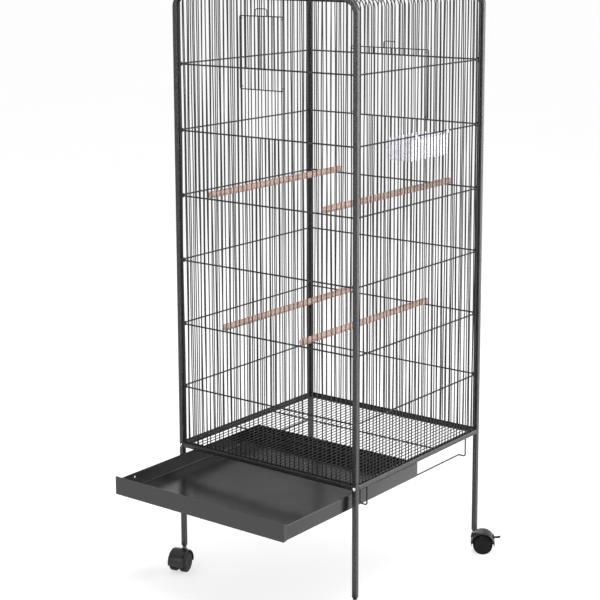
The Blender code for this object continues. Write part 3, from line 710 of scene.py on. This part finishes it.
def build_door(name, node, y, out, door):
    """Rod frame, bars, finger loop and four clips hooked round the panel's wires."""
    lo, hi = cage_box(node)
    clips = [n for n in frame["nodes"] if n.startswith(node + "_clip")]
    z0, z1 = lo.z + 1.35, hi.z - LOOP_RISE - LOOP_ROD
    mid, plane, bars = door["mid"], y + out * DOOR_PROUD, y + out * (DOOR_PROUD + 0.15)
    x0, x1 = mid - door["half"], mid + door["half"]
    bm = bmesh.new()
    rod = rounded([(mid, plane, z0), (x1, plane, z0), (x1, plane, z1), (x0, plane, z1),
                   (x0, plane, z0), (mid - 0.01, plane, z0)], 3.0, 6)
    wire(bm, rod[:-1], DOOR_ROD, closed=True)
    for x in STATIONS:
        if x0 + 6 < x < x1 - 6:
            wire(bm, [(x, bars, z0 - 0.9), (x, bars, z1 + 0.9)], DOOR_BAR, tip=0.3)
    loop = [(mid + x, plane, z1 + up) for x, up in
            ((-LOOP_HALF, -1.0), (-LOOP_HALF, LOOP_RISE), (LOOP_HALF, LOOP_RISE), (LOOP_HALF, -1.0))]
    wire(bm, rounded(loop, 5.5, 8), LOOP_ROD, tip=0.3)
    behind = y - out * HOOK_BEHIND
    for x, s in ((x0, 1), (x1, -1)):
        edge = min(STATIONS, key=lambda w: abs(w - x - s * 3.0))
        turn = edge + s * HOOK_ROUND
        for z in (z0 + HOOK_IN, z1 - HOOK_IN):
            hook = [(x - s * 0.4, plane, z), (turn, plane, z), (turn, behind, z),
                    (edge - s * 1.4, behind, z)]
            wire(bm, rounded(hook, 1.6, 5), HOOK_ROD, 8, tip=0.3)
    piece(name, bm, [M_WIRE], node, [node, *clips])


build_door("door_front", "front_door", 0.0, -1, DOORS["front"])
build_door("door_back", "back_door", SPAN, 1, DOORS["back"])


# ------------------------------------------------------------------ floor grate
GRATE_Z = 325.3
BEARER_Z = 322.3


def build_grate(name):
    bm = bmesh.new()
    a, b = TUBE / 2 + 1.8, SPAN - TUBE / 2 - 1.8
    z = GRATE_Z
    ring = rounded([(SPAN / 2, a, z), (b, a, z), (b, b, z), (a, b, z), (a, a, z),
                    (SPAN / 2 - 0.01, a, z)], 4.0, 6)
    wire(bm, ring[:-1], 1.45, closed=True)
    for x in STATIONS:
        wire(bm, [(x, a - 0.7, z + 0.3), (x, b + 0.7, z + 0.3)], 1.12, tip=0.3)
    piece(name, bm, [M_WIRE], "stand", ["floor_grate"])


def build_bearer(name, node):
    lo, hi = cage_box(node)
    y = (lo.y + hi.y) / 2
    bm = bmesh.new()
    wire(bm, [(TUBE / 2 - 0.4, y, BEARER_Z), (SPAN - TUBE / 2 + 0.4, y, BEARER_Z)], 1.95, 12)
    for k, (x, s) in enumerate(PANEL_ENDS):
        blob(bm, (x + s * 0.6, y, BEARER_Z + 0.3), 1.8, 3.0, 2.7, k + y)
    piece(name, bm, [M_WIRE], "stand", [node])


build_grate("grate_wires")
build_bearer("bearer_rod_front", "grate_bearer_front")
build_bearer("bearer_rod_back", "grate_bearer_back")


# ------------------------------------------------------------------ tray rails
def build_rail(name, node, mirror, r=1.8):
    """Rod that drops from the side bar, turns in under the tray and runs back along it."""
    lo, hi = cage_box(node)
    y0, y1, z = lo.y + r, hi.y - r, lo.z + r
    x_out, x_in = (4.0, 23.0) if mirror else (SPAN - 4.0, SPAN - 23.0)
    path = [(x_out, y0, BAR_LOW + 1.0), (x_out, y0, z), (x_in, y0, z), (x_in, y1, z),
            (x_out, y1, z), (x_out, y1, BAR_LOW + 1.0)]
    bm = bmesh.new()
    wire(bm, rounded(path, 5.0, 7), r, 12)
    for k, y in enumerate((y0, y1)):
        blob(bm, (x_out, y, BAR_LOW - 0.2), 2.4, 2.7, 1.6, k + 3.0 * mirror)
    piece(name, bm, [M_WIRE], "stand", [node])


build_rail("rail_rod_right", "tray_rail_right", False)
build_rail("rail_rod_left", "tray_rail_left", True)


# ------------------------------------------------------------------ tray
TRAY_HALF = 251.0
TRAY_WALL = 35.0
PLATE_HALF = 254.0
PLATE_HIGH = 44.0
SKIN = 0.9             # gap between the sheet's two faces
FOLD = 2.6             # radius of the fold at the foot of the walls
HEM = 0.9


def build_tray(name):
    """Folded sheet pan: rounded folds, hemmed rims, taller front plate with returns."""
    lo, hi = cage_box("tray")
    y0, y1, z0 = lo.y, hi.y, lo.z
    cx, ya = SPAN / 2, y0 + 1.4
    xa, xb = cx - TRAY_HALF, cx + TRAY_HALF
    bm = bmesh.new()

    def skin(inset, floor, top):
        """One face of the sheet, from the floor's edge over the fold and up the wall."""
        turns = [math.pi / 2 * k / 5 for k in range(6)]
        prof = [(inset + FOLD * (1 - math.sin(a)), floor + FOLD * (1 - math.cos(a)))
                for a in turns] + [(inset, top)]
        rings = []
        for i, z in prof:
            r = max(0.6, 2.2 - (i - inset)) if i < 2 else 0.6
            rings.append([bm.verts.new((x, y, z)) for x, y in
                          rounded_box(xa + i, ya + i, xb - i, y1 - i, r, 5)])
        for a, b in zip(rings, rings[1:]):
            bridge(bm, a, b)
        bm.faces.new(rings[0])
        return rings[-1]

    bridge(bm, skin(0.0, z0, z0 + TRAY_WALL), skin(SKIN, z0 + SKIN, z0 + TRAY_WALL))
    tool = bmesh.new()                          # hanging hole in the left wall
    turn = Matrix.Translation((xa, y0 + 62.0, z0 + 25.6)) @ Matrix.Rotation(math.pi / 2, 4, "Y")
    lathe(tool, [(0, -4.0), (2.3, -4.0), (2.3, 6.0), (0, 6.0)], 24, turn)
    bm = cut(bm, tool)

    # hems along the three walls
    hz, e = z0 + TRAY_WALL - 0.2, SKIN / 2
    for path in ([(xa + e, ya + 1.0, hz), (xa + e, y1 - 2.5, hz)],
                 [(xb - e, ya + 1.0, hz), (xb - e, y1 - 2.5, hz)],
                 [(xa + 2.5, y1 - e, hz), (xb - 2.5, y1 - e, hz)]):
        sweep(bm, path, [(a * 0.95, b) for a, b in circle(1.0, 10)])

    # front plate, hemmed on all four edges, with short returns behind its ends
    fx0, fx1, fz1 = cx - PLATE_HALF, cx + PLATE_HALF, z0 + PLATE_HIGH
    plate = rounded_box(fx0, z0, fx1, fz1, 2.2, 5)
    prism(bm, plate, y0 + 0.05, y0 + 1.15)
    hem = [(clamp(x, fx0 + HEM, fx1 - HEM), y0 + 0.95, clamp(z, z0 + HEM, fz1 - HEM))
           for x, z in plate]
    sweep(bm, hem, circle(HEM, 8), closed=True)
    for x, s in ((fx0, 1), (fx1, -1)):
        rows = [[bm.verts.new((x + s * dx, y0 + dy, z)) for dx, dy in
                 ((0.1, 0.6), (1.0, 0.6), (1.0, 9.0), (0.1, 9.0))] for z in (z0 + 1.5, fz1 - 2.5)]
        cap(bm, rows)
        bridge(bm, *rows)
    piece(name, bm, [M_TRAY], "tray", ["tray"], sharp=35.0)


build_tray("tray_sheet")


# ------------------------------------------------------------------ perches
def build_perch(node, seed, rings=60, sides=24):
    """Turned dowel, a little uneven, with its ends eased."""
    lo, hi = cage_box(node)
    c = (lo + hi) / 2
    r = (hi.z - lo.z) / 2
    y0, y1 = lo.y, hi.y
    bm = bmesh.new()
    prof = [(y0, 0.0), (y0 + 0.02, r - 2.2), (y0 + 0.5, r - 1.0), (y0 + 1.6, r - 0.25)]
    prof += [(y0 + 3 + (y1 - y0 - 6) * k / rings, r) for k in range(rings + 1)]
    prof += [(y1 - 1.6, r - 0.25), (y1 - 0.5, r - 1.0), (y1 - 0.02, r - 2.2), (y1, 0.0)]
    rows = []
    for y, rad in prof:
        if rad == 0:
            rows.append([bm.verts.new((c.x, y, c.z))])
            continue
        row = []
        for i in range(sides):
            a = 2 * math.pi * i / sides
            rr = rad - 0.18 + 0.07 * math.sin(3 * a + y * 0.021 + seed) \
                + 0.06 * math.sin(y * 0.055 + 2 * seed) \
                + 0.05 * math.sin(2 * a - y * 0.04 + seed * 3)
            row.append(bm.verts.new((c.x + rr * math.cos(a), y, c.z + rr * math.sin(a))))
        rows.append(row)
    for a, b in zip(rows, rows[1:]):
        bridge(bm, a, b)
    piece(node + "_dowel", bm, [M_WOOD], "stand", [node], sharp=50.0)


for k, node in enumerate(("perch_upper_left", "perch_upper_right", "perch_lower_left",
                          "perch_lower_right")):
    build_perch(node, 0.9 + 1.3 * k)


# ------------------------------------------------------------------ feeder cup
CUP_LOW, CUP_TOP = 1056.0, 1107.0
CUP_WALL = 2.0
CUP_BELLY = 17.0       # radius of the trough's front lower edge
CUP_HEEL = 4.0         # radius at its back


def build_cup(name):
    """Moulded trough with rounded ends, a rolled lip and two hooks over the level wire."""
    lo, hi = cage_box("feeder_cup")
    x0, x1, y0, y1 = lo.x, SPAN - 3.6, lo.y, hi.y
    z0, z1 = CUP_LOW, CUP_TOP
    bm = bmesh.new()

    def skin(inset, ya, yb, r):
        """One face of the trough; its outline, seen from the end, shrinks into rounded ends."""
        a, b = x0 + inset, x1 - inset
        side = [(a, z1)]
        side += arc(a + CUP_BELLY - inset, z0 + CUP_BELLY, CUP_BELLY - inset, 180, 270, 10)
        side += arc(b - CUP_HEEL, z0 + inset + CUP_HEEL, CUP_HEEL, 270, 360, 4) + [(b, z1)]
        turns = [math.pi / 2 * k / 5 for k in range(6)]
        ends = [(ya + r * (1 - math.cos(t)), r * (1 - math.sin(t))) for t in turns]
        ends += [(ya + yb - y, d) for y, d in reversed(ends)]
        rows = [[bm.verts.new((clamp(x, a + d, b - d), y, max(z, z0 + inset + d) if z < z1 else z))
                 for x, z in side] for y, d in ends]
        for row, after in zip(rows, rows[1:]):
            bridge(bm, row, after, closed=False)
        cap(bm, rows)
        return [row[0] for row in rows] + [row[-1] for row in reversed(rows)]

    bridge(bm, skin(0.0, y0, y1, 4.0), skin(CUP_WALL, y0 + CUP_WALL, y1 - CUP_WALL, 3.0))
    cx, lip_z = (x0 + x1) / 2, z1 - 0.6
    lip = [(cx, y0 + 1.0), (x1 - 1.0, y0 + 1.0), (x1 - 1.0, y1 - 1.0), (x0 + 1.0, y1 - 1.0),
           (x0 + 1.0, y0 + 1.0), (cx - 0.01, y0 + 1.0)]
    sweep(bm, rounded([(x, y, lip_z) for x, y in lip], 4.0, 5)[:-1], circle(1.25, 8), closed=True)
    over, strap = Z_L2 + R_CROSS + 1.4, [(2.9, 0.75), (2.6, 0.95), (-2.6, 0.95), (-2.9, 0.75)]
    strap += [(-a, -b) for a, b in strap]
    for y in (SPAN / 2 - 2 * PITCH, SPAN / 2 + 8 * PITCH):
        hook = [(x1 - 1.2, y, z1 - 9), (x1 - 1.2, y, over), (SPAN + 1.95, y, over),
                (SPAN + 1.95, y, over - 8.4)]
        sweep(bm, rounded(hook, 1.6, 5), strap, side=(0, 1, 0))
    piece(name, bm, [M_CUP], "stand", ["feeder_cup"], sharp=40.0)


build_cup("feeder_trough")


# ------------------------------------------------------------------ casters
HOOD_HALF = 22.0
HOOD_OUT, HOOD_IN = 32.0, 28.7          # radii of the hood's shell
PIVOT_X, PIVOT_Z = 46.5, 41.0           # brake lever's pivot from the stem and the floor


def local_frame(swivel, spin):
    """Matrix from the caster's own millimetres to the cage's, trail, and axle height."""
    p, q = Vector(swivel["pos_m"]), Vector(spin["pos_m"])
    d = q - p
    at = (p - ORIGIN) * 1000
    m = Matrix.Translation((at.x, at.y, 0)) @ Matrix.Rotation(math.atan2(d.y, d.x), 4, "Z")
    return m, Vector((d.x, d.y)).length * 1000, q.z * 1000


def hood_mesh(m, trail, zc, lever):
    """Crowned shell with rounded shoulders, web between the wheels, and stem boss."""
    bm = bmesh.new()
    half, r_out, r_in = HOOD_HALF, HOOD_OUT, HOOD_IN
    prof = [(-half + 0.4, r_in), (-half, r_in + 0.5), (-half, r_out - 2.6),
            (-half + 0.5, r_out - 1.5), (-half + 1.6, r_out - 0.75), (-half + 3.4, r_out - 0.4)]
    prof += [(-half + 7, r_out - 0.15), (-7, r_out), (7, r_out), (half - 7, r_out - 0.15)]
    prof += [(-y, r) for y, r in reversed(prof[:6])]
    n, rows = 44, []
    for k in range(n + 1):
        a = math.radians(-10 + 200 * k / n)
        tip = min(k, n - k) / n * 200 / 26.0     # the shell thins to its two tips
        thick = math.sin(min(1.0, tip) * math.pi / 2) * 0.86 + 0.14
        row = []
        for y, r in prof:
            rr = r_in + (r - r_in) * thick
            row.append(bm.verts.new(m @ Vector((trail + rr * math.cos(a), y, zc + rr * math.sin(a)))))
        rows.append(row)
    cap(bm, rows)
    for a, b in zip(rows, rows[1:]):
        bridge(bm, a, b)
    web = arc(trail, zc, r_in + 0.8, -4, 184, 28) + arc(trail, zc - 3, 10.5, 200, 340, 8)
    prism(bm, web, -6.3, 6.3, m)
    lathe(bm, [(4.3, 40.0), (9.6, 40.0), (9.2, 44.0), (8.2, 47.0), (7.6, 49.0), (7.35, 50.6),
               (6.9, 51.3), (6.2, 51.5), (4.3, 51.5)], 36, m)
    if lever:                                   # cheeks that hold the brake's pivot
        cheek = arc(PIVOT_X, PIVOT_Z, 5.4, -60, 240, 14) + [(43.0, 33.0), (52.0, 34.0)]
        for y in (-8.2, 5.5):
            prism(bm, cheek, y, y + 2.7, m)
    return bm


def wheel_mesh(m, trail, zc, side):
    """Moulded disc with a rounded tread, a rim groove and a raised hub."""
    bm = bmesh.new()
    turn = Matrix.Rotation(math.radians(-90 * side), 4, "X")
    prof = [(0.0, 17.3), (3.1, 17.3), (3.1, 7.0), (6.0, 7.0), (6.5, 7.6), (21.5, 7.9), (22.2, 7.0),
            (23.9, 7.0), (24.9, 7.4), (25.35, 8.5), (25.4, 10.0), (25.4, 18.2), (25.25, 19.4),
            (24.7, 20.4), (23.9, 20.9), (23.1, 21.0), (22.7, 20.75), (22.4, 20.35), (22.0, 20.3),
            (21.7, 20.6), (21.2, 20.9), (19.0, 21.15), (12.0, 21.4), (6.0, 21.48), (5.4, 21.3),
            (5.0, 21.1), (4.6, 21.15), (3.8, 21.4), (0.0, 21.5)]
    lathe(bm, prof, 56, m @ Matrix.Translation((trail, 0, zc)) @ turn)
    return bm


def lever_mesh(m):
    """Pressed pedal that widens to its tip and curls up, on a round pivot, with grip ridges."""
    bm = bmesh.new()
    px, pz = PIVOT_X, PIVOT_Z
    lathe(bm, [(0, -4.8), (2.6, -4.8), (3.0, -4.4), (3.0, 4.4), (2.6, 4.8), (0, 4.8)], 24,
          m @ Matrix.Translation((px, 0, pz)) @ Matrix.Rotation(math.radians(90), 4, "X"))
    line = [(-0.5, 0.0, 3.6, 1.7), (4, 0.0, 3.5, 1.8), (9, -0.15, 3.7, 1.9), (13, 0.1, 4.1, 2.0),
            (17, 0.9, 4.4, 1.9), (20, 1.9, 4.1, 1.6), (21.3, 2.5, 3.2, 1.1)]
    rows = []
    for along, up, hw, th in line:
        sec = [(hw * 0.86, th), (-hw * 0.86, th), (-hw, th * 0.4), (-hw, -th * 0.4),
               (-hw * 0.86, -th), (hw * 0.86, -th), (hw, -th * 0.4), (hw, th * 0.4)]
        rows.append([bm.verts.new(m @ Vector((px + along, y, pz + 0.1 + up + z))) for y, z in sec])
    cap(bm, rows)
    for a, b in zip(rows, rows[1:]):
        bridge(bm, a, b)
    for k, up in enumerate((0.0, 0.35, 0.85, 1.4)):
        x, z = px + 11.5 + 2.2 * k, pz + 1.95 + up
        sweep(bm, [m @ Vector((x, -3.3, z)), m @ Vector((x, 3.3, z))], circle(0.42, 6))
    return bm


JOINT = {j["name"]: j for j in frame["joints"]}
for tag in ("front_left", "front_right", "back_right", "back_left"):
    base = "caster_" + tag
    m, trail, zc = local_frame(JOINT[base + "_swivel_turn"], JOINT[base + "_wheel_spin"])
    lever = base + "_brake" in frame["nodes"]
    piece(base + "_fork", hood_mesh(m, trail, zc, lever), [M_HOOD], base + "_swivel",
          [base + "_hood"], bevel=0.35)
    for side, tail in ((1, "a"), (-1, "b")):
        piece(base + "_disc_" + tail, wheel_mesh(m, trail, zc, side), [M_WHEEL], base + "_wheels",
              [base + "_wheel_" + tail], sharp=45.0)
    if lever:
        piece(base + "_pedal", lever_mesh(m), [M_HOOD], base + "_brake", [base + "_brake"],
              sharp=45.0)
    bm = bmesh.new()
    lathe(bm, [(0, 35.0), (3.6, 35.0), (4.0, 35.4), (4.0, 53.4), (5.0, 53.4), (5.6, 53.8),
               (5.6, 56.5), (5.3, 56.9), (0, 56.9)], 40, m)
    piece(base + "_pin", bm, [M_ZINC], "stand", [base + "_stem"], sharp=45.0)
    axle = frame["nodes"][base + "_axle"].data.materials
    axle.clear()
    axle.append(M_ZINC)


# ------------------------------------------------------------------ stage
LAMPS = (("key", (2.9, 3.0, 1.5), 2.8, 150.0),       # name, place, size and watts
         ("crown", (0.7, -0.9, 2.35), 0.9, 34.0),
         ("fill", (-0.4, -4.4, 2.2), 1.8, 26.0),
         ("rim", (-2.6, 3.4, 1.5), 2.0, 7.0))
LAMPS_AIM = Vector((0.0, 0.1, 0.7))


def put(name, data):
    ob = bpy.data.objects.new(name, data)
    bpy.context.scene.collection.objects.link(ob)
    return ob


def build_stage(half=60.0):
    """Pale floor, white surroundings, a wide soft ceiling light and four soft lamps."""
    bm = bmesh.new()
    bm.faces.new([bm.verts.new(p) for p in
                  ((-half, -half, 0), (half, -half, 0), (half, half, 0), (-half, half, 0))])
    me = bpy.data.meshes.new("studio_floor")
    bm.to_mesh(me)
    bm.free()
    me.materials.append(floor_paint())
    put("studio_floor", me)

    scene = bpy.context.scene
    scene.world = bpy.data.worlds.new("studio")
    scene.world.use_nodes = True
    bg = scene.world.node_tree.nodes["Background"]
    bg.inputs["Color"].default_value = (1.0, 1.0, 1.0, 1.0)
    bg.inputs["Strength"].default_value = 0.50
    sky = bpy.data.lights.new("ceiling", "SUN")
    sky.energy, sky.angle = 0.45, math.radians(80)
    put("ceiling", sky).location = (0, 0, 5)
    for name, at, size, power in LAMPS:
        lamp = bpy.data.lights.new(name, "AREA")
        lamp.shape, lamp.size, lamp.energy = "SQUARE", size, power
        ob = put(name, lamp)
        ob.visible_camera = False
        ob.location = at
        ob.rotation_euler = (LAMPS_AIM - Vector(at)).to_track_quat("-Z", "Y").to_euler()
    scene.view_settings.view_transform = "Standard"


def build_camera():
    """Eye level above the cage top, seen from the front right corner."""
    azimuth, elevation, roll = math.radians(37.57), math.radians(9.765), math.radians(-0.198)
    back = Vector((math.sin(azimuth) * math.cos(elevation),
                   -math.cos(azimuth) * math.cos(elevation), math.sin(elevation)))
    data = bpy.data.cameras.new("camera")
    data.sensor_width = 36.0
    data.lens = 95.259
    data.shift_y = -0.16525
    data.clip_start, data.clip_end = 0.1, 200.0
    ob = put("camera", data)
    ob.location = ORIGIN + Vector((2.5561, -2.8389, 1.5967))
    ob.rotation_mode = "QUATERNION"
    ob.rotation_quaternion = (-back).to_track_quat("-Z", "Y") @ Quaternion((0, 0, 1), roll)
    bpy.context.scene.camera = ob


build_stage()
build_camera()
